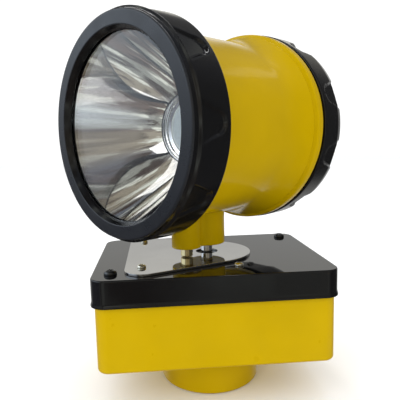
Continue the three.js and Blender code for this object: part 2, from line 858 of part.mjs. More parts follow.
function addStem() {
  addPart(head, 'spindle', spindle(), steel);
  addPart(head, 'spindle_nut', spindleNut(), steel);
  addPart(head, 'thrust_washer', thrustWasher(), steel);
  addPart(head, 'spindle_clip', spindleClip(), steel);
  addPart(head, 'contact_pin', contactPin(), brass);
  addPart(head, 'contact_spring', contactSpring(), steel);
  addPart(head, 'pin_terminal', pinTerminal(), brass);
  const pinLead = lead([
    [2.8, pinReach, fromAxis(terminalTop) + 1.2],
    [6, pinReach - 4, fromAxis(terminalTop) + 3],
    [12, -6, -31],
    [12, driverFront - 8, -30],
    [9, driverRear - 5, -22],
    [12, driverRear - 1.4, -14],
  ]);
  addPart(head, 'pin_lead', pinLead, wireRed);
  const spindleLead = lead([
    [-4, -1.8, nutBottom + nutHeight + 1.3],
    [-8, -8, -31],
    [-12, driverFront - 6, -29],
    [-10, driverRear - 5, -22],
    [-8, driverRear - 1.4, -14],
  ]);
  addPart(head, 'spindle_lead', spindleLead, wireBlack);
}

function addRear() {
  addPart(head, 'rear_cap', rearCap(), blackPlastic);
  addPart(head, 'cap_seal', capSeal(), blackRubber);
  addPart(head, 'switch_carrier', switchCarrier(), blackPlastic);
  addPart(head, 'switch_body', switchBody(), blackPlastic);
  addPart(head, 'switch_button', switchButton(), blackRubber);
}

addBase();
addBattery();
addHead();
addStem();
addRear();

export default root;
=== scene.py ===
"""The looks of a miner's lamp whose spotlight head swivels on a battery box.

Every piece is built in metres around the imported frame. In the lamp's own frame Y points forward
along the lamp's axis and Z points up.
"""

import json
import math
from functools import partial

import bmesh
import bpy
import numpy as np
from mathutils import Matrix, Vector


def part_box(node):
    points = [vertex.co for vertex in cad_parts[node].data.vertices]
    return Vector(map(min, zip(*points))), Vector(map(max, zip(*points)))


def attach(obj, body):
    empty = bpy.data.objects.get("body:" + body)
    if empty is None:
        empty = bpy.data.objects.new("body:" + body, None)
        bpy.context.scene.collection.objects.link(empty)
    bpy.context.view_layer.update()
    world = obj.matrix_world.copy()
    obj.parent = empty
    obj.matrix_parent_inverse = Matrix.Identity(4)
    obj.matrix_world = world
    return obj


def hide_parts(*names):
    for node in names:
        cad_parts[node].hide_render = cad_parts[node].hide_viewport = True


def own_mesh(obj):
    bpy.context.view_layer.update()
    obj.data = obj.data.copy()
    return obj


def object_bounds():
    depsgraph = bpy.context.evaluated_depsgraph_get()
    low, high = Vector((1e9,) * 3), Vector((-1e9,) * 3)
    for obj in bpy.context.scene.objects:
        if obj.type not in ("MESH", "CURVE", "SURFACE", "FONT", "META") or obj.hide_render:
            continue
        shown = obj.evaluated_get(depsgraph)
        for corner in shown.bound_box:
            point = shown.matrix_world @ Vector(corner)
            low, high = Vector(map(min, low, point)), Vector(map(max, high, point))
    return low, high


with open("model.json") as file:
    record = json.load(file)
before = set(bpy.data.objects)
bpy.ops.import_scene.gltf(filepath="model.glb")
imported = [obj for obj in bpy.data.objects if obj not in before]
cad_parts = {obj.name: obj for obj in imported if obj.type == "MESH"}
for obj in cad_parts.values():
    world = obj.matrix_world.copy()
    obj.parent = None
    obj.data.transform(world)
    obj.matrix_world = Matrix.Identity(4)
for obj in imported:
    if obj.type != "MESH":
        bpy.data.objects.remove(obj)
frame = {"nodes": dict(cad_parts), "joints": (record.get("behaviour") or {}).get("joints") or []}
cad_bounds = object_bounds()
nodes = frame["nodes"]
mm = 0.001

# ---------- measuring the frame ----------

joints = {joint["name"]: joint for joint in frame["joints"]}
forward = Vector(joints["bezel_turn"]["axis"]).normalized()
axis_height = joints["bezel_turn"]["pos_m"][2]
head_turn = math.atan2(-forward.x, forward.y)
lamp = Matrix.Translation((0, 0, axis_height)) @ Matrix.Rotation(head_turn, 4, "Z")


def upright(x=0.0, y=0.0):
    """A place whose local Y axis points up, above (x, y)."""
    return Matrix.Translation((x, y, 0)) @ Matrix.Rotation(math.pi / 2, 4, "X")


def above(node):
    """An upright place through the middle of a node."""
    low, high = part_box(node)
    return upright((low.x + high.x) / 2, (low.y + high.y) / 2)


def points_of(node, place):
    """A node's points in a place's own frame."""
    inverse = place.inverted()
    return np.array([inverse @ vertex.co for vertex in nodes[node].data.vertices])


def measured(node, place=lamp):
    """(rear, front, inner radius, outer radius) of a node about a place's Y axis."""
    points = points_of(node, place)
    if node == "lamp_barrel":
        points = points[points[:, 2] > 0]  # leaves the neck out
    radius = np.hypot(points[:, 0], points[:, 2])
    return points[:, 1].min(), points[:, 1].max(), radius.min(), radius.max()


bezel_rear, bezel_front, _, bezel_radius = measured("front_bezel")
barrel_rear, barrel_front, barrel_bore, flange_radius = measured("lamp_barrel")
cap_rear, cap_front, _, cap_radius = measured("rear_cap")
lens_rear, lens_front, _, lens_radius = measured("lens")
_, seal_front, cap_thread, _ = measured("cap_seal")
_, _, _, button_radius = measured("switch_button")

lid_low, lid_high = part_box("base_lid")
box_low, box_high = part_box("base_box")
plate_low, plate_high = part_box("contact_plate")
pin_low, pin_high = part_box("contact_pin")
pin_spot = (pin_low + pin_high) / 2
pin_radius = (pin_high.x - pin_low.x) / 2
spindle_low, spindle_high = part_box("spindle")
spindle_radius = (spindle_high.x - spindle_low.x) / 2
clearance = 0.3 * mm

# ---------- mesh helpers ----------


def link(name, mesh):
    piece = bpy.data.objects.new(name, mesh)
    bpy.context.scene.collection.objects.link(piece)
    return piece


def piece_from(name, points, faces, place=Matrix.Identity(4)):
    """A closed mesh with its faces pointing out, moved into its place."""
    mesh = bpy.data.meshes.new(name)
    mesh.from_pydata(points, [], faces)
    mesh.transform(place)
    work = bmesh.new()
    work.from_mesh(mesh)
    bmesh.ops.remove_doubles(work, verts=work.verts, dist=1e-7)
    bmesh.ops.recalc_face_normals(work, faces=work.faces)
    work.to_mesh(mesh)
    work.free()
    return link(name, mesh)


def rounded(corners, closed=True, steps=6):
    """Swaps each (radius, along, fillet) corner of an outline for an arc with that fillet."""
    result = []
    count = len(corners)
    for i, (radius, along, fillet) in enumerate(corners):
        corner = Vector((radius, along))
        at_end = not closed and i in (0, count - 1)
        if fillet <= 0 or at_end:
            result.append(corner)
            continue
        before = Vector(corners[i - 1][:2]) - corner
        after = Vector(corners[(i + 1) % count][:2]) - corner
        half = before.angle(after) / 2
        if half > math.radians(89.5):
            result.append(corner)
            continue
        reach = min(fillet / math.tan(half), 0.49 * before.length, 0.49 * after.length)
        middle = (before.normalized() + after.normalized()).normalized()
        centre = corner + middle * (reach / math.cos(half))
        start = corner + before.normalized() * reach - centre
        end = corner + after.normalized() * reach - centre
        sweep = start.angle(end)
        for k in range(steps + 1):
            share = k / steps
            arm = start * math.sin((1 - share) * sweep) + end * math.sin(share * sweep)
            result.append(centre + arm / math.sin(sweep))
    return result


def finely(outline, step):
    """Adds points so that no stretch of a closed outline is longer than a step."""
    result = []
    for i, point in enumerate(outline):
        following = outline[(i + 1) % len(outline)]
        parts = max(1, math.ceil((following - point).length / step))
        result += [point.lerp(following, k / parts) for k in range(parts)]
    return result


def turned(name, outline, place=lamp, sides=192, closed=True, carve=None):
    """A body turned about its place's Y axis from (radius, along) points.

    An outline that isn't closed starts and ends on the axis. carve changes the radius at each
    point, given the radius, the way along and the angle from the place's Z axis.
    """
    outline = np.array([tuple(point) for point in outline])
    radius, angle = np.meshgrid(outline[:, 0], np.arange(sides) * 2 * math.pi / sides)
    along = np.broadcast_to(outline[:, 1], radius.shape)
    if carve:
        radius = carve(radius, along, angle)
    points = np.stack([radius * np.sin(angle), along, radius * np.cos(angle)], axis=-1)
    rows = len(outline)
    faces = []
    for i in range(sides):
        here = i * rows
        there = (i + 1) % sides * rows
        for k in range(rows if closed else rows - 1):
            following = (k + 1) % rows
            faces.append((here + k, there + k, there + following, here + following))
    return piece_from(name, points.reshape(-1, 3).tolist(), faces, place)


def lofted(name, rows, place=Matrix.Identity(4)):
    """A body through loops of points, closed by a flat face at each end."""
    count = len(rows[0])
    faces = [tuple(range(count)), tuple(range(count * (len(rows) - 1), count * len(rows)))]
    for k in range(len(rows) - 1):
        for i in range(count):
            following = (i + 1) % count
            low = k * count
            faces.append((low + i, low + following, low + count + following, low + count + i))
    return piece_from(name, [point for row in rows for point in row], faces, place)


def raised(outline, height, inset=0.0):
    """A loop of points at a height, moved inwards from a counter-clockwise outline."""
    outline = np.array(outline)
    run = np.roll(outline, -1, axis=0) - np.roll(outline, 1, axis=0)
    run /= np.linalg.norm(run, axis=1)[:, None]
    moved = outline + inset * np.stack([-run[:, 1], run[:, 0]], axis=-1)
    return [(x, y, height) for x, y in moved]


def slab(name, outline, bottom, top, edge, steps=4, place=Matrix.Identity(4)):
    """A plate with rounded edges."""
    rows = []
    for k in range(steps + 1):
        angle = math.pi / 2 * k / steps
        height = bottom + edge * (1 - math.sin(angle))
        rows.insert(0, raised(outline, height, edge * (1 - math.cos(angle))))
    for k in range(steps + 1):
        angle = math.pi / 2 * k / steps
        height = top - edge * (1 - math.sin(angle))
        rows.append(raised(outline, height, edge * (1 - math.cos(angle))))
    return lofted(name, rows, place)


def arc(centre_x, centre_y, radius, start, end, steps):
    """Points on an arc; the angles are in radians from the X axis."""
    angles = np.linspace(start, end, steps + 1)
    return [(centre_x + radius * math.cos(a), centre_y + radius * math.sin(a)) for a in angles]


def rounded_rectangle(half_x, half_y, corner, steps=10):
    """A counter-clockwise outline about the origin."""
    outline = []
    for i, (way_x, way_y) in enumerate([(1, 1), (-1, 1), (-1, -1), (1, -1)]):
        start = i * math.pi / 2
        centre = way_x * (half_x - corner), way_y * (half_y - corner)
        outline += arc(*centre, corner, start, start + math.pi / 2, steps)
    return outline


def combine(piece, tool, operation):
    """Joins a tool to a piece or cuts it away, and removes the tool."""
    modifier = piece.modifiers.new("boolean", "BOOLEAN")
    modifier.operation = operation
    modifier.solver = "MANIFOLD"
    modifier.object = tool
    depsgraph = bpy.context.evaluated_depsgraph_get()
    result = bpy.data.meshes.new_from_object(piece.evaluated_get(depsgraph))
    piece.modifiers.clear()
    piece.data = result
    bpy.data.objects.remove(tool)
    return piece


def join(piece, tool):
    return combine(piece, tool, "UNION")


def cut(piece, tool):
    return combine(piece, tool, "DIFFERENCE")


def rod(radius, bottom, top, place, sides=64):
    """A plain round tool for holes and posts."""
    outline = [(0, bottom), (radius, bottom), (radius, top), (0, top)]
    return turned("rod", outline, place, sides, closed=False)


def put(piece, body, material, slot, *replaced, crease=32):
    """Gives a piece its finish, smooth shading, body and the CAD nodes it stands for."""
    mesh = piece.data
    if not any(mesh.materials):
        mesh.materials.clear()
        mesh.materials.append(material)
    mesh.shade_smooth()
    mesh.set_sharp_from_angle(angle=math.radians(crease))
    weighted = piece.modifiers.new("weighted_normals", "WEIGHTED_NORMAL")
    weighted.keep_sharp = True
    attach(piece, body)
    if replaced:
        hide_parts(*replaced)
    return piece


# ---------- materials ----------


def add_node(tree, kind, inputs, output=0, **settings):
    """Adds a node whose inputs are values or other nodes' outputs, and returns one output."""
    node = tree.nodes.new(kind)
    for name, value in settings.items():
        setattr(node, name, value)
    for key, value in inputs.items():
        if isinstance(value, bpy.types.NodeSocket):
            tree.links.new(value, node.inputs[key])
        else:
            node.inputs[key].default_value = value
    return node.outputs[output]


def mixed_colours(tree, factor, first, second):
    """Mixes two colours or colour outputs by a factor output."""
    mixer = tree.nodes.new("ShaderNodeMix")
    mixer.data_type = "RGBA"
    for key, value in [(0, factor), (6, first), (7, second)]:
        if isinstance(value, bpy.types.NodeSocket):
            tree.links.new(value, mixer.inputs[key])
        else:
            mixer.inputs[key].default_value = (*value, 1)
    return mixer.outputs[2]


class Finish:
    """A Principled material with procedural detail. Each method returns a node's output."""

    def __init__(self, name, colour, roughness, metallic=0.0, place=None, sockets=None):
        self.material = bpy.data.materials.new(name)
        self.material.use_nodes = True
        self.tree = self.material.node_tree
        self.shader = self.tree.nodes["Principled BSDF"]
        self.shader.inputs["Base Color"].default_value = (*colour, 1)
        self.shader.inputs["Roughness"].default_value = roughness
        self.shader.inputs["Metallic"].default_value = metallic
        for socket, value in (sockets or {}).items():
            self.shader.inputs[socket].default_value = value
        self.where = self.tree.nodes.new("ShaderNodeTexCoord").outputs["Object"]
        if place:
            inverse = place.inverted()
            turned_back = self.tree.nodes.new("ShaderNodeMapping")
            turned_back.inputs["Rotation"].default_value = inverse.to_euler()
            turned_back.inputs["Location"].default_value = inverse.to_translation()
            self.tree.links.new(self.where, turned_back.inputs["Vector"])
            self.where = turned_back.outputs["Vector"]

    def node(self, kind, inputs, output=0, **settings):
        return add_node(self.tree, kind, inputs, output, **settings)

    def stretched(self, x, y, z):
        """The place on the surface, in units of these lengths."""
        scale = (1 / x, 1 / y, 1 / z)
        return self.node("ShaderNodeVectorMath", {0: self.where, 1: scale}, operation="MULTIPLY")

    def noise(self, size, detail=2.0, stretch=(1, 1, 1)):
        """Cloudy noise from 0 to 1 with spots of about this size."""
        where = self.stretched(*(size * part for part in stretch))
        return self.node("ShaderNodeTexNoise", {"Vector": where, "Scale": 1.0, "Detail": detail})

    def around(self, size, along):
        """Noise in streaks that run away from the place's Y axis."""
        parts = self.tree.nodes.new("ShaderNodeSeparateXYZ")
        self.tree.links.new(self.where, parts.inputs[0])
        across = self.node("ShaderNodeCombineXYZ", {"X": parts.outputs["X"], "Z": parts.outputs["Z"]})
        unit = self.node("ShaderNodeVectorMath", {0: across}, operation="NORMALIZE")
        wide = self.node("ShaderNodeVectorMath", {0: unit, "Scale": 1 / size}, operation="SCALE")
        deep = self.node("ShaderNodeMath", {0: parts.outputs["Y"], 1: 1 / along}, operation="MULTIPLY")
        offset = self.node("ShaderNodeCombineXYZ", {"Y": deep})
        where = self.node("ShaderNodeVectorMath", {0: wide, 1: offset}, operation="ADD")
        return self.node("ShaderNodeTexNoise", {"Vector": where, "Scale": 1.0, "Detail": 3.0})

    def rings(self, pitch):
        """Turning marks about the place's Y axis, from 0 to 1."""
        where = self.stretched(1e3, pitch, 1e3)
        return self.node("ShaderNodeTexNoise", {"Vector": where, "Scale": 1.0, "Detail": 2.0})

    def level(self, value, low, high, start=0.3, end=0.7):
        """Takes start to low and end to high."""
        inputs = {"Value": value, "From Min": start, "From Max": end, "To Min": low, "To Max": high}
        return self.node("ShaderNodeMapRange", inputs)

    def colour(self, value, first, second, start=0.3, end=0.7):
        """Varies the colour between two, with a value."""
        mixed = mixed_colours(self.tree, self.level(value, 0, 1, start, end), first, second)
        self.tree.links.new(mixed, self.shader.inputs["Base Color"])
        return self

    def rough(self, value, low, high, start=0.3, end=0.7):
        level = self.level(value, low, high, start, end)
        self.tree.links.new(level, self.shader.inputs["Roughness"])
        return self

    def bump(self, *layers):
        """Adds layers of (height from 0 to 1, depth in metres) to the surface."""
        normal = None
        for height, depth in layers:
            inputs = {"Height": height, "Distance": depth, "Strength": 1.0}
            if normal:
                inputs["Normal"] = normal
            normal = self.node("ShaderNodeBump", inputs)
        self.tree.links.new(normal, self.shader.inputs["Normal"])
        return self


def shaded(colour, share):
    return tuple(share * part for part in colour)


def moulded_plastic(name, colour, roughness, peel=2e-6, clouds=0.06, shine=(1, 1, 1)):
    """Glossy moulded plastic: faint flow clouds, orange peel and rubbed, duller patches."""
    finish = Finish(name, colour, roughness, sockets={"Specular Tint": (*shine, 1)})
    finish.colour(finish.noise(28 * mm, 3), shaded(colour, 1 - clouds), shaded(colour, 1 + clouds / 2))
    finish.rough(finish.noise(9 * mm, 4), 0.8 * roughness, 1.25 * roughness)
    finish.bump((finish.noise(14 * mm, 1), 12 * peel), (finish.noise(1.1 * mm, 2), peel))
    return finish.material


def rubber(name, colour):
    finish = Finish(name, colour, 0.75)
    finish.colour(finish.noise(6 * mm, 3), shaded(colour, 0.8), shaded(colour, 1.3))
    finish.rough(finish.noise(2 * mm), 0.62, 0.85)
    finish.bump((finish.noise(0.35 * mm, 3), 0.03 * mm))
    return finish.material


def plain_metal(name, colour, roughness, place=None, marks=1e-6):
    """Turned or drawn metal: fine marks round its own axis and a few dull patches."""
    finish = Finish(name, colour, roughness, 1.0, place)
    finish.colour(finish.noise(3 * mm, 3), shaded(colour, 0.86), shaded(colour, 1.06))
    finish.rough(finish.noise(2.2 * mm, 4), 0.75 * roughness, 1.4 * roughness)
    grain = finish.rings(0.12 * mm) if place else finish.noise(0.5 * mm, 3, (8, 0.3, 0.3))
    finish.bump((grain, marks))
    return finish.material


def polished_sheet(name, colour):
    """Mirror sheet: a slow waviness from rolling, hairlines and a faint smear."""
    finish = Finish(name, colour, 0.06, 1.0)
    smear = finish.noise(16 * mm, 4)
    finish.colour(smear, shaded(colour, 0.95), shaded(colour, 1.03))
    finish.rough(smear, 0.035, 0.1, 0.35, 0.75)
    hairline = finish.noise(0.16 * mm, 2, (60, 1, 1))
    finish.bump((finish.noise(18 * mm, 1), 6e-6), (hairline, 1.5e-7))
    return finish.material


def mirror_coat(name, colour):
    """Vacuum-metallised plastic: ripples that run from the light source to the rim."""
    finish = Finish(name, colour, 0.03, 1.0, lamp)
    finish.rough(finish.noise(11 * mm, 3), 0.015, 0.06)
    finish.bump((finish.around(0.11, 40 * mm), 18e-6), (finish.noise(5 * mm, 2), 1.5e-6))
    return finish.material


def clear_plastic(name, colour, roughness, depth):
    sockets = {"Transmission Weight": 1.0, "IOR": 1.49}
    finish = Finish(name, colour, roughness, sockets=sockets)
    finish.rough(finish.noise(7 * mm, 4), 0.0, roughness, 0.45, 0.8)
    finish.bump((finish.noise(12 * mm, 1), depth))
    return finish.material


def circuit_board(name, mask, copper):
    """Green solder mask over raised tracks."""
    finish = Finish(name, mask, 0.35)
    where = finish.stretched(2.4 * mm, 2.4 * mm, 2.4 * mm)
    tracks = finish.node("ShaderNodeTexBrick", {"Vector": where, "Scale": 1.0, "Mortar Size": 0.12}, 1)
    finish.colour(tracks, mask, copper, 0.2, 0.8)
    finish.rough(finish.noise(1 * mm, 3), 0.25, 0.5)
    finish.bump((tracks, 0.03 * mm))
    return finish.material


def printed_wrap(name, colour):
    """Heat-shrunk battery sleeve: long wrinkles and scuffs."""
    finish = Finish(name, colour, 0.35)
    finish.colour(finish.noise(10 * mm, 4), shaded(colour, 0.8), shaded(colour, 1.15))
    finish.rough(finish.noise(3 * mm, 3), 0.25, 0.5)
    finish.bump((finish.noise(2 * mm, 2, (6, 1, 1)), 0.03 * mm))
    return finish.material


def phosphor(name, colour):
    """The light source's coated chips under its gel, given a faint painted glow in place of the light that
    reaches them through the lens.
    """
    # painted glow: a faint emission that brightens the chips
    painted_glow = {"Emission Color": (*colour, 1), "Emission Strength": 0.22}
    finish = Finish(name, colour, 0.4, sockets=painted_glow)
    where = finish.stretched(2.2 * mm, 2.2 * mm, 2.2 * mm)
    cells = finish.node("ShaderNodeTexVoronoi", {"Vector": where, "Scale": 1.0}, distance="CHEBYCHEV")
    finish.colour(cells, colour, shaded(colour, 0.85), 0.2, 0.9)
    finish.rough(finish.noise(2 * mm), 0.3, 0.5)
    finish.bump((cells, 0.05 * mm))
    return finish.material


yellow = (0.53, 0.345, 0.0)
yellow_shine = (1.0, 0.86, 0.1)
black = (0.005, 0.005, 0.0055)

# the barrel's yellow is the box's yellow darkened by 0.88: painted shade on the glossy barrel
yellow_gloss_shaded = moulded_plastic("yellow_gloss_shaded", shaded(yellow, 0.88), 0.14, shine=yellow_shine)
yellow_satin = moulded_plastic("yellow_satin", yellow, 0.34, shine=yellow_shine)
black_gloss = moulded_plastic("black_gloss", black, 0.14, clouds=0.15)
black_lid = moulded_plastic("black_lid", black, 0.035, peel=0.3e-6, clouds=0.15)
# satin black with a faint blue tint in its colour, which paints part of the blue-grey sheen on the bezel's
# face
black_satin = moulded_plastic("black_satin", (0.010, 0.0115, 0.015), 0.3, peel=4e-6, clouds=0.15)
black_rubber = rubber("black_rubber", (0.012, 0.012, 0.012))
white_nylon = moulded_plastic("white_nylon", (0.62, 0.6, 0.55), 0.45)
black_oxide = plain_metal("black_oxide", (0.09, 0.09, 0.09), 0.3)
stainless = polished_sheet("stainless_sheet", (0.49, 0.485, 0.475))
mirror = mirror_coat("mirror_coat", (0.86, 0.86, 0.85))
screw_steel = plain_metal("screw_steel", (0.85, 0.81, 0.68), 0.28)
spindle_steel = plain_metal("spindle_steel", (0.8, 0.8, 0.8), 0.12, upright())
pin_brass = plain_metal("pin_brass", (0.85, 0.72, 0.4), 0.14, upright(pin_spot.x, pin_spot.y))
strip_brass = plain_metal("strip_brass", (0.62, 0.47, 0.2), 0.25)
aluminium = plain_metal("aluminium", (0.6, 0.61, 0.62), 0.38)
circuit_green = circuit_board("circuit_green", (0.012, 0.1, 0.035), (0.05, 0.2, 0.08))
light_source = phosphor("light_source", (0.84, 0.93, 0.94))
cell_wrap = printed_wrap("cell_wrap", (0.03, 0.12, 0.3))
red_wire = moulded_plastic("red_wire", (0.35, 0.015, 0.01), 0.4)
black_wire = moulded_plastic("black_wire", (0.01, 0.01, 0.01), 0.4)
lens_clear = clear_plastic("lens_clear", (1, 1, 1), 0.02, 2e-6)
dome_clear = clear_plastic("dome_clear", (0.95, 0.98, 1), 0.05, 1e-5)

# ---------- head: bezel, barrel and cap ----------

scoop_count = 10
ring_sides = 720
carve_step = 0.4 * mm


def scooped(first_turn, floor_radius, mouth, tip):
    """Carves flat-floored finger scoops, each a tongue from its wide mouth to its round tip."""
    half_mouth = 8.8 * mm
    half_tip = 5.4 * mm
    shoulder = 1.2 * mm  # how much wider the tongue is where the round tip ends
    widening = 3 * mm  # how far past the round tip the shoulder takes to reach its width
    wall_width = 1.5 * mm
    pitch = 2 * math.pi / scoop_count
    way = math.copysign(1, mouth - tip)
    bend = tip + way * half_tip
    taper = (half_mouth - half_tip - shoulder) / (abs(mouth - bend) - widening)

    def carve(radius, along, angle):
        turn = (angle - first_turn + pitch / 2) % pitch - pitch / 2
        across = np.abs(radius * np.sin(turn))
        ahead = way * (along - bend)
        width = half_tip + np.clip(ahead, 0, widening) / widening * shoulder
        width = width + np.clip(ahead - widening, 0, None) * taper
        inside = np.where(ahead < 0, half_tip - np.hypot(ahead, across), width - across)
        inside = np.minimum(inside, way * (mouth - along))
        share = np.clip(inside / wall_width, 0, 1)
        share = share * share * (3 - 2 * share)
        floor = floor_radius / np.cos(turn)
        outside = radius > floor
        return np.where(outside, radius + share * (floor - radius), radius)

    return carve


def front_bezel():
    thread = 45.5 * mm
    opening = 42.4 * mm
    lens_seat = lens_radius + clearance
    shoulder = barrel_front + 1.7 * mm
    outline = rounded([
        (bezel_radius, bezel_rear, 0.8 * mm),
        (bezel_radius, bezel_front - 3.4 * mm, 0.8 * mm),
        (bezel_radius - 1.2 * mm, bezel_front - 2.5 * mm, 0.4 * mm),
        (bezel_radius - 1.7 * mm, bezel_front, 1.0 * mm),
        (opening, bezel_front, 0.5 * mm),
        (opening - 1.2 * mm, bezel_front - 2.0 * mm, 0.3 * mm),
        (opening - 1.8 * mm, lens_front + clearance, 0.3 * mm),
        (lens_seat, lens_front + clearance, 0.2 * mm),
        (lens_seat, shoulder, 0.2 * mm),
        (thread, shoulder, 0.2 * mm),
        (thread, bezel_rear, 0.3 * mm),
    ])
    floor = bezel_radius - 1.4 * mm
    carve = scooped(math.pi / 2, floor, bezel_front - 3.2 * mm, bezel_rear + 2.2 * mm)
    piece = turned("bezel_ring", finely(outline, carve_step), sides=ring_sides, carve=carve)
    mesh = piece.data
    mesh.materials.append(black_gloss)
    mesh.materials.append(black_satin)
    inverse = lamp.inverted()
    for face in mesh.polygons:
        middle = inverse @ face.center
        radius = math.hypot(middle.x, middle.z)
        on_face = middle.y > bezel_front - 0.8 * mm and radius > opening - 0.2 * mm
        face.material_index = 1 if on_face else 0
    put(piece, "bezel", black_gloss, "black_plastic", "front_bezel")


def rear_cap():
    thread = cap_thread
    dish = cap_rear + 1.1 * mm
    floor = cap_rear + 3.1 * mm
    button_hole = button_radius + 0.6 * mm
    outline = rounded([
        (thread, cap_front, 0.3 * mm),
        (cap_radius, cap_front, 0.7 * mm),
        (cap_radius, cap_rear + 6.0 * mm, 3.0 * mm),
        (cap_radius - 0.9 * mm, cap_rear + 2.0 * mm, 1.2 * mm),
        (cap_radius - 3.4 * mm, cap_rear, 1.2 * mm),
        (32 * mm, cap_rear, 1.0 * mm),
        (30 * mm, dish, 1.0 * mm),
        (button_hole + 1.2 * mm, dish, 0.6 * mm),
        (button_hole, dish + 0.8 * mm, 0.4 * mm),
        (button_hole, floor, 0.2 * mm),
        (thread, floor, 0.3 * mm),
    ])
    first = math.pi / 2 + math.pi / scoop_count
    carve = scooped(first, cap_radius - 2.4 * mm, cap_rear - 2 * mm, cap_front - 3.4 * mm)
    piece = turned("cap_ring", finely(outline, carve_step), sides=ring_sides, carve=carve)
    put(piece, "cap", black_gloss, "black_plastic", "rear_cap")


def barrel_outline():
    """The waisted body with its rear flange, and its bore."""
    waist = barrel_bore + 2.5 * mm
    front_flare = 27 * mm  # how far the flare towards the bezel runs
    front_thread = 45.2 * mm
    rear_thread = 44.6 * mm
    front_bore = 42.4 * mm
    rear_bore = rear_thread - 2.4 * mm
    flare_start = -8 * mm
    crease = -26 * mm
    crease_radius = 48.2 * mm
    flange_rear = seal_front + clearance
    behind_bezel = bezel_rear - clearance
    to_bezel = []
    to_flange = []
    steps = 24
    for k in range(steps + 1):
        share = k / steps
        to_bezel.append((waist + 2 * mm * (1 - share) ** 2, behind_bezel - front_flare * share, 0))
        radius = waist + (crease_radius - waist) * share ** 2.2
        to_flange.append((radius, flare_start + (crease - flare_start) * share, 0))
    return rounded([
        (front_thread, barrel_front, 0.4 * mm),
        (front_thread, behind_bezel, 0.2 * mm),
        *to_bezel,
        *to_flange,
        (crease_radius - 0.1 * mm, crease - 0.6 * mm, 0.3 * mm),
        (flange_radius - 0.3 * mm, crease - 1.4 * mm, 0.8 * mm),
        (flange_radius, crease - 3.0 * mm, 1.0 * mm),
        (flange_radius, flange_rear, 0.7 * mm),
        (rear_thread, flange_rear, 0.2 * mm),
        (rear_thread, barrel_rear, 0.4 * mm),
        (rear_bore, barrel_rear, 0.4 * mm),
        (rear_bore, -30 * mm, 2 * mm),
        (barrel_bore, -14 * mm, 4 * mm),
        (barrel_bore, 34 * mm, 2 * mm),
        (front_bore, 38 * mm, 2 * mm),
        (front_bore, barrel_front, 0.4 * mm),
    ])


def neck_outline(pin_reach):
    """Two lobes, round the spindle and round the pin, with a soft crease between them."""
    rear = 9.7 * mm
    front = 7.6 * mm
    web = 5.6 * mm
    rear_end = math.acos(web / rear)
    front_end = math.acos(web / front)
    right = arc(0, 0, rear, -math.pi / 2, rear_end, 60)
    right += arc(0, pin_reach, front, -front_end, math.pi / 2, 50)
    left = [(-x, y) for x, y in reversed(right)]
    outline = np.array(right[:-1] + left[:-1])
    for _ in range(8):
        outline = (np.roll(outline, 1, axis=0) + 2 * outline + np.roll(outline, -1, axis=0)) / 4
    return outline


def lamp_barrel():
    piece = turned("barrel_shell", barrel_outline(), sides=256)
    pin_reach = (lamp.inverted() @ pin_spot).y
    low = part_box("lamp_barrel")[0].z - axis_height
    high = 2 * mm - barrel_bore
    neck = slab("neck", neck_outline(pin_reach), low, high, 0.5 * mm, place=lamp)
    piece = join(piece, neck)
    for y, radius in [(0, spindle_radius), (pin_reach, pin_radius)]:
        spot = lamp @ Vector((0, y, 0))
        bottom = axis_height + low - 1 * mm
        hole = rod(radius + clearance, bottom, axis_height + high + 1 * mm, upright(spot.x, spot.y))
        piece = cut(piece, hole)
    put(piece, "head", yellow_gloss_shaded, "yellow_plastic", "lamp_barrel", crease=28)


# ---------- head: optics ----------


def parabola(start, end, steps):
    """Points from one (radius, along) to another on a parabola about the axis."""
    points = []
    for k in range(steps + 1):
        share = k / steps
        square = (1 - share) * start[0] ** 2 + share * end[0] ** 2
        points.append(Vector((math.sqrt(square), (1 - share) * start[1] + share * end[1])))
    return points


def reflector():
    rear, front, well, _ = measured("reflector")
    flange_front = barrel_front + clearance + 1.1 * mm
    rim = 41 * mm
    skin = 1.3 * mm
    small_end = rear + 5.1 * mm
    inside = parabola((rim, front), (well, small_end), 80)
    back = barrel_front - 1 * mm
    outside = [point + Vector((skin, -0.5 * skin)) for point in inside[1:-1] if point.y < back]
    outside.reverse()
    outline = [
        *inside,
        Vector((well, rear)),
        Vector((well + skin, rear)),
        Vector((well + skin, small_end - 1 * mm)),
        *outside,
        Vector((rim + 1 * mm, barrel_front + clearance)),
        Vector((rim + 3 * mm, barrel_front + clearance)),
        Vector((rim + 3 * mm, flange_front)),
        Vector((rim + 0.8 * mm, flange_front)),
        Vector((rim + 0.8 * mm, front)),
    ]
    piece = turned("reflector_bowl", outline, sides=360)
    put(piece, "head", mirror, "chrome", "reflector", crease=40)


def led_ring():
    rear, front, inner, outer = measured("led_ring")
    outline = rounded([
        (inner, rear, 0.1 * mm),
        (outer, rear, 0.1 * mm),
        (outer, front, 0.25 * mm),
        (outer - 0.9 * mm, front, 0.3 * mm),
        (outer - 0.9 * mm, front - 1.4 * mm, 0.3 * mm),
        (outer - 1.6 * mm, front - 1.7 * mm, 0.25 * mm),
        (outer - 1.6 * mm, front - 2.9 * mm, 0.3 * mm),
        (inner, front - 3.5 * mm, 0.3 * mm),
    ])
    put(turned("step_ring", outline, sides=256), "head", mirror, "chrome", "led_ring")


def led_emitter():
    rear, front, _, outer = measured("led_emitter")
    outline = rounded([
        (0, rear, 0),
        (outer, rear, 0.1 * mm),
        (outer, front, 0.15 * mm),
        (0, front, 0),
    ], closed=False)
    piece = turned("light_disc", outline, sides=128, closed=False)
    put(piece, "head", light_source, "phosphor", "led_emitter")


def led_dome():
    rear, front, _, outer = measured("led_dome")
    outline = [Vector((0, rear)), Vector((outer, rear))]
    for k in range(1, 17):
        angle = math.pi / 2 * k / 16
        outline.append(Vector((outer * math.cos(angle), rear + (front - rear) * math.sin(angle))))
    piece = turned("gel_dome", outline, sides=128, closed=False)
    put(piece, "head", dome_clear, "clear_lens", "led_dome")


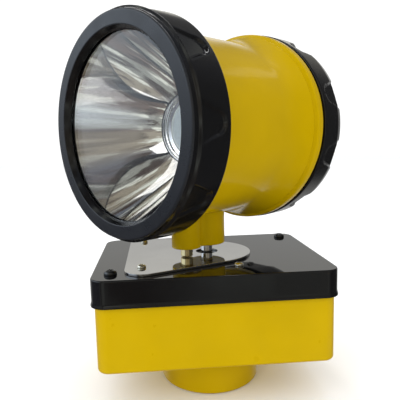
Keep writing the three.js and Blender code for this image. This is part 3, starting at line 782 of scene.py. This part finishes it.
def lens():
    outline = rounded([
        (0, lens_rear, 0),
        (lens_radius, lens_rear, 0.25 * mm),
        (lens_radius, lens_front, 0.25 * mm),
        (0, lens_front, 0),
    ], closed=False)
    piece = turned("front_glass", outline, sides=192, closed=False)
    put(piece, "lens_carrier", lens_clear, "clear_lens", "lens")


def simple_ring(node, name, body, material, slot, edge=0.2 * mm):
    """A plain ring with rounded edges in place of a turned CAD node."""
    rear, front, inner, outer = measured(node)
    corners = [(inner, rear), (outer, rear), (outer, front), (inner, front)]
    outline = rounded([(radius, along, edge) for radius, along in corners])
    put(turned(name, outline, sides=192), body, material, slot, node)


# ---------- head: button, spindle and pin ----------


def switch_button():
    rear, front, _, outer = measured("switch_button")
    stem = 4 * mm
    under = rear + 3.2 * mm
    outline = [Vector((0, front)), Vector((stem, front)), Vector((stem, under))]
    skirt = rounded([
        (stem, under, 0),
        (outer, under, 0.2 * mm),
        (outer, rear + 0.9 * mm, 0.6 * mm),
        (outer - 1.2 * mm, rear + 0.3 * mm, 0.6 * mm),
        (outer - 2.0 * mm, rear + 0.3 * mm, 0.3 * mm),
        (outer - 2.6 * mm, rear + 0.7 * mm, 0.3 * mm),
        (outer - 3.2 * mm, rear + 0.2 * mm, 0.4 * mm),
        (0, rear, 0),
    ], closed=False)
    piece = turned("press_button", outline + skirt[1:], sides=128, closed=False)
    put(piece, "button", black_rubber, "black_rubber", "switch_button")


def spindle():
    groove = spindle_radius - 0.8 * mm
    clip_low, clip_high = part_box("spindle_clip")
    outline = rounded([
        (0, spindle_low.z, 0),
        (spindle_radius, spindle_low.z, 0.5 * mm),
        (spindle_radius, clip_low.z - 0.2 * mm, 0.1 * mm),
        (groove, clip_low.z - 0.2 * mm, 0.1 * mm),
        (groove, clip_high.z + 0.2 * mm, 0.1 * mm),
        (spindle_radius, clip_high.z + 0.2 * mm, 0.1 * mm),
        (spindle_radius, spindle_high.z, 0.5 * mm),
        (0, spindle_high.z, 0),
    ], closed=False)
    piece = turned("swivel_spindle", outline, upright(), 96, closed=False)
    put(piece, "head", spindle_steel, "bright_steel", "spindle")


def contact_pin():
    shoulder = pin_low.z + 12 * mm  # above it is the thin tail that the spring sits round
    tail = 1.2 * mm
    outline = rounded([
        (0, pin_low.z, 0),
        (pin_radius, pin_low.z, 0.6 * mm),
        (pin_radius, shoulder, 0.3 * mm),
        (tail, shoulder, 0.2 * mm),
        (tail, pin_high.z, 0.3 * mm),
        (0, pin_high.z, 0),
    ], closed=False)
    piece = turned("spring_pin", outline, upright(pin_spot.x, pin_spot.y), 96, closed=False)
    put(piece, "pin", pin_brass, "brass", "contact_pin")


def contact_spring():
    """A coil of round wire round the pin's tail."""
    low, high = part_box("contact_spring")
    wire = 0.35 * mm
    radius = 2.3 * mm
    turns = 6
    steps = 40 * turns
    rows = []
    for step in range(steps + 1):
        angle = 2 * math.pi * turns * step / steps
        out = Vector((math.cos(angle), math.sin(angle), 0))
        height = low.z + wire + (high.z - low.z - 2 * wire) * step / steps
        middle = Vector((pin_spot.x, pin_spot.y, height)) + radius * out
        section = arc(0, 0, wire, 0, 2 * math.pi, 12)[:-1]
        rows.append([tuple(middle + x * out + Vector((0, 0, y))) for x, y in section])
    piece = lofted("pin_spring", rows)
    put(piece, "head", screw_steel, "bright_steel", "contact_spring")
    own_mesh(piece)


# ---------- base ----------

lid_corner = 7.5 * mm
box_corner = 5.7 * mm
wall = 2.6 * mm
bush_hole = 5.8 * mm


def box_loop(high, corner, inset, height):
    """A level loop with round corners, moved inwards from the sides of a box with this upper corner."""
    corner = max(corner - inset, 0.8 * mm)
    return [(x, y, height) for x, y in rounded_rectangle(high.x - inset, high.y - inset, corner)]


def base_box():
    """A thin box with rounded lower edges, open at the top, on a hollow round foot."""
    loop = partial(box_loop, box_high, box_corner)
    tongue = 1.2 * mm
    shell_top = lid_low.z - clearance
    floor = box_low.z + 20.8 * mm
    points = points_of("base_box", Matrix.Identity(4))
    low_points = points[points[:, 2] < floor - 1 * mm]
    foot_radius = np.hypot(low_points[:, 0], low_points[:, 1]).max()
    edge = 1.6 * mm

    rows = [loop(edge + 2 * mm, floor)]
    for k in range(7):
        angle = math.pi / 2 * k / 6
        rows.append(loop(edge * (1 - math.sin(angle)), floor + edge * (1 - math.cos(angle))))
    rows += [
        loop(0, shell_top - 0.3 * mm),
        loop(0.3 * mm, shell_top),
        loop(tongue, shell_top),
        loop(tongue, box_high.z - 0.3 * mm),
        loop(tongue + 0.3 * mm, box_high.z),
        loop(wall, box_high.z),
        loop(wall, floor + wall + 1 * mm),
        loop(wall + 1 * mm, floor + wall),
    ]
    piece = lofted("battery_box", rows)
    recess = 21.8 * mm
    foot = rounded([
        (0, box_low.z, 0),
        (foot_radius, box_low.z, 0.7 * mm),
        (foot_radius, floor + 1 * mm, 0),
        (0, floor + 1 * mm, 0),
    ], closed=False)
    piece = join(piece, turned("foot", foot, upright(), 192, closed=False))
    piece = cut(piece, rod(recess, box_low.z - 1 * mm, box_low.z + 2 * mm, upright(), 128))
    hollow = foot_radius - wall
    foot_floor = box_low.z + 5.1 * mm
    piece = cut(piece, rod(hollow, foot_floor, floor + wall + 1 * mm, upright(), 128))
    post = 5 * mm
    pilot = 2 * mm
    pilot_depth = 16 * mm
    for name in ("lid_screw_front", "lid_screw_back"):
        piece = join(piece, rod(post, floor + wall - 1 * mm, box_high.z, above(name)))
        piece = cut(piece, rod(pilot, box_high.z - pilot_depth, box_high.z + 1 * mm, above(name), 32))
    put(piece, "base", yellow_satin, "yellow_plastic", "base_box")


def base_lid():
    """A shallow cover with a crisp top edge and a slightly flared lower lip."""
    loop = partial(box_loop, lid_high, lid_corner)
    edge = 0.7 * mm
    lip = 0.45 * mm
    panel = 3 * mm
    ledge = box_high.z + 2 * mm
    inside = 2.7 * mm

    rim = wall + 2.1 * mm
    rows = [
        loop(rim, lid_high.z - panel),
        loop(rim, ledge),
        loop(inside, ledge),
        loop(inside, lid_low.z + 0.3 * mm),
        loop(inside - 0.3 * mm, lid_low.z),
        loop(0.35 * mm, lid_low.z),
        loop(0.08 * mm, lid_low.z + 0.15 * mm),
        loop(0, lid_low.z + 0.5 * mm),
        loop(0.1 * mm, lid_low.z + 1.1 * mm),
        loop(lip, lid_low.z + 2.4 * mm),
        loop(lip, lid_high.z - edge),
    ]
    for k in range(1, 7):
        angle = math.pi / 2 * k / 6
        rows.append(loop(lip + edge * (1 - math.cos(angle)), lid_high.z - edge * (1 - math.sin(angle))))
    piece = lofted("box_lid", rows)
    under = lid_high.z - panel
    boss = 9.5 * mm
    piece = join(piece, rod(boss, under - 1.6 * mm, under + 1 * mm, upright(), 96))
    piece = cut(piece, rod(bush_hole, lid_low.z, lid_high.z + 1 * mm, upright(), 128))
    put(piece, "base", black_lid, "black_plastic", "base_lid")


def contact_plate():
    """A polished tongue: a round end about the spindle and two rounded corners at the left."""
    radius = plate_high.x
    corner = 9 * mm
    reach = -plate_low.x - corner
    spread = plate_high.y - corner
    lean = math.asin((radius - corner) / math.hypot(reach, spread))
    side = math.atan2(spread, -reach) - math.pi / 2 + lean
    outline = arc(0, 0, radius, -side, side, 96)
    outline += arc(-reach, spread, corner, side, math.pi, 24)
    outline += arc(-reach, -spread, corner, math.pi, 2 * math.pi - side, 24)
    piece = slab("contact_sheet", outline, plate_low.z, plate_high.z, 0.22 * mm)
    below = plate_low.z - 1 * mm
    over = plate_high.z + 1 * mm
    piece = cut(piece, rod(bush_hole, below, over, upright(), 128))
    screw_hole = 1.5 * mm
    for name in ("plate_screw_front", "plate_screw_back"):
        piece = cut(piece, rod(screw_hole, below, over, above(name), 48))
    put(piece, "base", stainless, "stainless_plate", "contact_plate")


def cross_screw(node, name, seat, material, slot):
    """A pan-head screw with a cross recess, its head resting on a seat."""
    low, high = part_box(node)
    place = above(node)
    head = (high.x - low.x) / 2
    shank = 0.56 * head
    crown = high.z - seat
    corners = [
        (0, low.z, 0),
        (shank * 0.6, low.z, 0.2 * mm),
        (shank, low.z + shank * 0.4, 0.2 * mm),
        (shank, seat, 0),
        (head, seat, 0.12 * mm),
        (head, seat + 0.42 * crown, 0.3 * crown),
        (head * 0.86, seat + 0.84 * crown, 0.6 * crown),
        (head * 0.4, high.z, 0.8 * crown),
        (0, high.z, 0),
    ]
    piece = turned(name, rounded(corners, closed=False), place, 64, closed=False)
    twist = Matrix.Rotation(math.radians(28), 4, "Y")
    arm = 0.58 * head
    slot_half = 0.13 * head
    depth = 0.62 * crown
    for quarter in (0, 1):
        turn = twist @ Matrix.Rotation(quarter * math.pi / 2, 4, "Y")
        rows = []
        for share, height in [(0.55, high.z - depth), (1.0, high.z), (1.3, high.z + depth / 2)]:
            x = arm * share
            y = slot_half * (0.8 + 0.2 * share)
            rows.append([(-x, height, -y), (x, height, -y), (x, height, y), (-x, height, y)])
        piece = cut(piece, lofted("recess", rows, place @ turn))
    put(piece, "base", material, slot, node)


def insulating_bush():
    place = upright()
    low, high, bore, outer = measured("insulating_bush", place)
    neck = 5.5 * mm
    flange = low + 1.8 * mm
    outline = rounded([
        (bore, low, 0.1 * mm),
        (outer, low, 0.2 * mm),
        (outer, flange, 0.2 * mm),
        (neck, flange, 0.1 * mm),
        (neck, high, 0.3 * mm),
        (bore + 0.5 * mm, high, 0.2 * mm),
        (bore, high - 0.5 * mm, 0.1 * mm),
    ])
    put(turned("bush_collar", outline, place, 128), "base", black_gloss, "black_plastic", "insulating_bush")


def foot_pad():
    """A rubber disc with round ridges underneath."""
    place = upright()
    low, high, _, outer = measured("foot_pad", place)
    ridge_pitch = 3 * mm
    ridge = 0.35 * mm
    corners = [(0, high, 0), (outer, high, 0.2 * mm), (outer, low, 0.4 * mm)]
    radius = outer - ridge_pitch
    while radius > ridge_pitch:
        corners += [
            (radius + 0.5 * mm, low, 0.15 * mm),
            (radius + 0.3 * mm, low + ridge, 0.1 * mm),
            (radius - 0.3 * mm, low + ridge, 0.1 * mm),
            (radius - 0.5 * mm, low, 0.15 * mm),
        ]
        radius -= ridge_pitch
    corners.append((0, low, 0))
    piece = turned("grip_pad", rounded(corners, closed=False, steps=3), place, 128, closed=False)
    put(piece, "base", black_rubber, "black_rubber", "foot_pad")


front_bezel()
lamp_barrel()
rear_cap()
reflector()
led_ring()
led_emitter()
led_dome()
lens()
simple_ring("cap_seal", "cap_gasket", "cap_carrier", black_rubber, "black_rubber")
simple_ring("lens_seal", "lens_gasket", "lens_carrier", black_rubber, "black_rubber")
switch_button()
spindle()
contact_pin()
contact_spring()
base_box()
base_lid()
contact_plate()
insulating_bush()
foot_pad()
lid_seat = lid_high.z + 0.05 * mm
plate_seat = plate_high.z + 0.05 * mm
for place in ("front", "back"):
    cross_screw(f"lid_screw_{place}", f"box_screw_{place}", lid_seat, black_oxide, "black_screw")
    cross_screw(f"plate_screw_{place}", f"sheet_screw_{place}", plate_seat, screw_steel, "bright_steel")
cross_screw("terminal_screw", "lead_screw", lid_seat, screw_steel, "bright_steel")

# ---------- CAD nodes that stay ----------

kept_nodes = [
    (black_rubber, ["lid_gasket"]),
    (white_nylon, ["cell_tray"]),
    (cell_wrap, ["battery_cell_1", "battery_cell_2", "battery_cell_3"]),
    (screw_steel, ["cell_strip_negative", "cell_strip_positive"]),
    (screw_steel, ["spindle_nut", "thrust_washer", "spindle_clip"]),
    (circuit_green, ["control_board", "driver_board"]),
    (strip_brass, ["spindle_wiper", "pin_terminal"]),
    (black_wire, ["battery_lead", "spindle_lead"]),
    (red_wire, ["plate_lead", "pin_lead"]),
    (aluminium, ["led_board", "heat_sink"]),
    (black_satin, ["switch_carrier", "switch_body"]),
]
for material, names in kept_nodes:
    for name in names:
        for slot in nodes[name].material_slots:
            slot.material = material

# ---------- floor, light and camera ----------


def floor():
    """A wide pale disc that the foot stands on; it doesn't show in the lamp's reflections."""
    outline = arc(0, 0, 3.0, 0, 2 * math.pi, 96)[:-1]
    piece = slab("studio_floor", outline, cad_bounds[0].z - 10 * mm, cad_bounds[0].z, 1 * mm)
    finish = Finish("pale_floor", (0.96, 0.96, 0.96), 0.9)
    finish.colour(finish.noise(0.4), (0.95, 0.95, 0.95), (0.97, 0.97, 0.97))
    piece.data.materials.append(finish.material)
    piece.visible_glossy = False
    piece.visible_transmission = False


def soft_light(name, spot, width, length, power, along=(0, 1, 0), reflected=False):
    """A panel that faces the lamp, its length about along a direction.

    Only the reflected ones show in shiny surfaces.
    """
    data = bpy.data.lights.new(name, "AREA")
    data.shape = "RECTANGLE"
    data.size = width
    data.size_y = length
    data.energy = power
    light = bpy.data.objects.new(name, data)
    ahead = (Vector((0, 0, axis_height)) - Vector(spot)).normalized()
    side = ahead.cross(Vector(along)).normalized()
    turn = Matrix((side, side.cross(ahead), -ahead)).transposed().to_4x4()
    light.matrix_world = Matrix.Translation(spot) @ turn
    light.visible_glossy = reflected
    bpy.context.scene.collection.objects.link(light)


def height_colours(tree, height, stops):
    """A colour ramp over the height of a direction, from -1 (down) to 1 (up)."""
    ramp = tree.nodes.new("ShaderNodeValToRGB")
    elements = ramp.color_ramp.elements
    while len(elements) < len(stops):
        elements.new(0.5)
    for element, (position, colour) in zip(elements, stops):
        element.position = (position + 1) / 2
        element.color = (*colour, 1)
    share = add_node(tree, "ShaderNodeMath", {0: height, 1: 0.5, 2: 0.5}, operation="MULTIPLY_ADD")
    tree.links.new(share, ramp.inputs[0])
    return ramp.outputs[0]


def studio_world():
    """White for the camera, even soft light, and a plain room for the reflections."""
    world = bpy.data.worlds.new("studio")
    world.use_nodes = True
    bpy.context.scene.world = world
    tree = world.node_tree
    direction = tree.nodes.new("ShaderNodeTexCoord").outputs["Generated"]
    parts = tree.nodes.new("ShaderNodeSeparateXYZ")
    tree.links.new(direction, parts.inputs[0])
    across = parts.outputs["X"]
    ahead = parts.outputs["Y"]
    height = parts.outputs["Z"]

    room = height_colours(tree, height, [
        (-1.0, (0.03, 0.025, 0.02)),
        (-0.6, (0.09, 0.065, 0.05)),
        (-0.4, (0.17, 0.175, 0.155)),
        (-0.06, (0.18, 0.185, 0.165)),
        (0.0, (0.08, 0.06, 0.05)),
        (0.08, (0.2, 0.18, 0.14)),
        (0.5, (0.19, 0.17, 0.13)),
        (0.8, (0.09, 0.1, 0.12)),
        (1.0, (0.06, 0.06, 0.07)),
    ])
    stretch = (2.6, 2.6, 6.0)  # the clutter in the room is wide and low
    flat = add_node(tree, "ShaderNodeVectorMath", {0: direction, 1: stretch}, operation="MULTIPLY")
    clutter = add_node(tree, "ShaderNodeTexNoise", {"Vector": flat, "Scale": 1.0, "Detail": 4.0})
    limits = {"Value": across, "From Min": 0.12, "From Max": -0.04, "To Min": 0.35}
    aside = add_node(tree, "ShaderNodeMapRange", limits)  # the clutter is mostly at the left
    dark = add_node(tree, "ShaderNodeMapRange", {"Value": clutter, "From Min": 0.52, "From Max": 0.57})
    dark = add_node(tree, "ShaderNodeMath", {0: dark, 1: aside}, operation="MULTIPLY")
    room = mixed_colours(tree, dark, room, (0.035, 0.025, 0.018))
    pale = add_node(tree, "ShaderNodeMapRange", {"Value": clutter, "From Min": 0.43, "From Max": 0.38})
    pale = add_node(tree, "ShaderNodeMath", {0: pale, 1: aside}, operation="MULTIPLY")
    room = mixed_colours(tree, pale, room, (0.46, 0.48, 0.43))

    right_wall = [(-0.3, (0.03, 0.03, 0.03)), (0.4, (0.05, 0.05, 0.05)), (0.8, (0.09, 0.09, 0.1))]
    left_wall = [(-0.15, (0.05, 0.05, 0.06)), (0.05, (0.25, 0.28, 0.32)), (0.3, (0.7, 0.79, 0.9))]
    backdrop = [
        (0.2, (0.29, 0.29, 0.285)),
        (0.4, (0.5, 0.49, 0.45)),
        (0.55, (0.07, 0.07, 0.07)),
    ]
    for way, start, end, stops in [
        (across, 0.5, 0.8, right_wall),
        (across, -0.45, -0.8, left_wall),
        (ahead, 0.35, 0.75, backdrop),
    ]:
        limits = {"Value": way, "From Min": start, "From Max": end}
        share = add_node(tree, "ShaderNodeMapRange", limits, interpolation_type="SMOOTHSTEP")
        room = mixed_colours(tree, share, room, height_colours(tree, height, stops))
    room = add_node(tree, "ShaderNodeVectorMath", {0: room, "Scale": 2.0}, operation="SCALE")

    rays = tree.nodes.new("ShaderNodeLightPath")
    seen = {0: rays.outputs["Is Camera Ray"], 1: rays.outputs["Is Diffuse Ray"]}
    plain = add_node(tree, "ShaderNodeMath", seen, operation="MAXIMUM")
    shade = mixed_colours(tree, plain, room, (1.12, 1.12, 1.12))
    tree.links.new(shade, tree.nodes["Background"].inputs["Color"])


def camera():
    """Stands close in front, a little above the lid, and looks slightly down."""
    data = bpy.data.cameras.new("camera")
    data.lens = 39.43
    data.sensor_width = 36
    data.shift_x = 0.0356
    data.shift_y = -0.0074
    data.clip_start = 10 * mm
    yaw, pitch, roll = 0.0668, -0.1253, -0.0286
    ahead = Vector((math.sin(yaw) * math.cos(pitch), math.cos(yaw) * math.cos(pitch), math.sin(pitch)))
    level = Vector((math.cos(yaw), -math.sin(yaw), 0))
    above = level.cross(ahead)
    right = math.cos(roll) * level + math.sin(roll) * above
    top = -math.sin(roll) * level + math.cos(roll) * above
    spot = Vector((-25.7 * mm, -228.2 * mm, lid_high.z + 59.4 * mm))
    eye = bpy.data.objects.new("camera", data)
    turn = Matrix((right, top, -ahead)).transposed().to_4x4()
    eye.matrix_world = Matrix.Translation(spot) @ turn
    bpy.context.scene.collection.objects.link(eye)
    bpy.context.scene.camera = eye


floor()
soft_light("key", (-0.6, -0.6, 0.7), 0.9, 0.9, 3)
soft_light("strip", (0.0, 0.28, 1.1), 0.1, 1.35, 2.8, along=(0.35, -1, 0), reflected=True)
soft_light("glint", (0.78, 0.4, 0.8), 0.14, 0.14, 0.03, reflected=True)
studio_world()
camera()
bpy.context.scene.view_settings.view_transform = "Standard"
